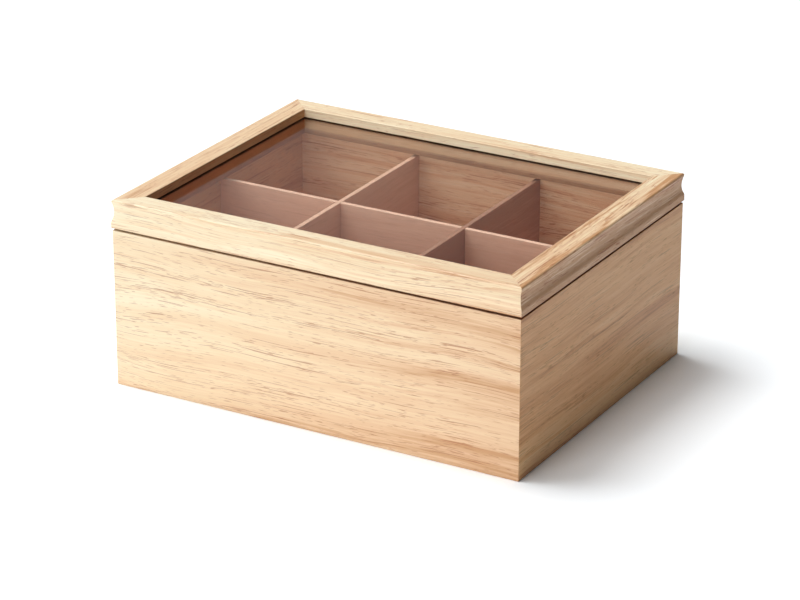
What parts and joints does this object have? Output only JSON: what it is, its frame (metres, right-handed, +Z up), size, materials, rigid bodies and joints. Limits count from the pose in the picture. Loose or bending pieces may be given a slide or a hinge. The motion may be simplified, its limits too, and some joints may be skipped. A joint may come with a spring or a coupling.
{
  "type": "tea bag organizer box",
  "caption": "Wooden box with compartments for tea bag envelopes under a hinged lid: a moulded frame round a clear glass pane.",
  "frame": {"origin": "middle of the box's underside, on the surface that the box stands on", "axes": "+X to the right along the long front, +Y to the back where the hinges are, +Z up"},
  "size_m": [0.281, 0.2194, 0.1215],
  "materials": {
    "wall_wood": "pale straight-grained hardwood with short dark pores, clear satin lacquer",
    "side_wood": "pale straight-grained hardwood with short dark pores, clear satin lacquer",
    "rail_wood": "pale hardwood moulding, clear satin lacquer",
    "side_rail_wood": "pale hardwood moulding with stronger streaks, clear satin lacquer",
    "divider_wood": "thin pinkish-brown board, matt",
    "bottom_ply": "thin plywood, matt",
    "pane_glass": "clear polished flat glass",
    "hinge_brass": "satin plated brass",
    "pin_steel": "plain bright wire",
    "bumper_felt": "pressed brown felt"
  },
  "bodies": {
    "box": {"front_panel": "wall_wood", "back_panel": "wall_wood", "left_panel": "side_wood", "right_panel": "side_wood", "bottom_panel": "bottom_ply", "long_divider": "divider_wood", "cross_divider_left": "divider_wood", "cross_divider_right": "divider_wood", "hinge_left_box_leaf": "hinge_brass", "hinge_left_pin": "pin_steel", "hinge_right_box_leaf": "hinge_brass", "hinge_right_pin": "pin_steel", "box_hinge_screws": "hinge_brass", "rim_bumpers": "bumper_felt"},
    "lid": {"lid_rail_front": "rail_wood", "lid_rail_back": "rail_wood", "lid_rail_left": "side_rail_wood", "lid_rail_right": "side_rail_wood", "glass_pane": "pane_glass", "hinge_left_lid_leaf": "hinge_brass", "hinge_right_lid_leaf": "hinge_brass", "lid_hinge_screws": "hinge_brass"}
  },
  "joints": [
    {"name": "lid_hinge", "type": "hinge", "parent": "box", "child": "lid", "pos_m": [0, 0.10985, 0.10265], "axis": [-1, 0, 0], "range_deg": [0, 100]}
  ]
}
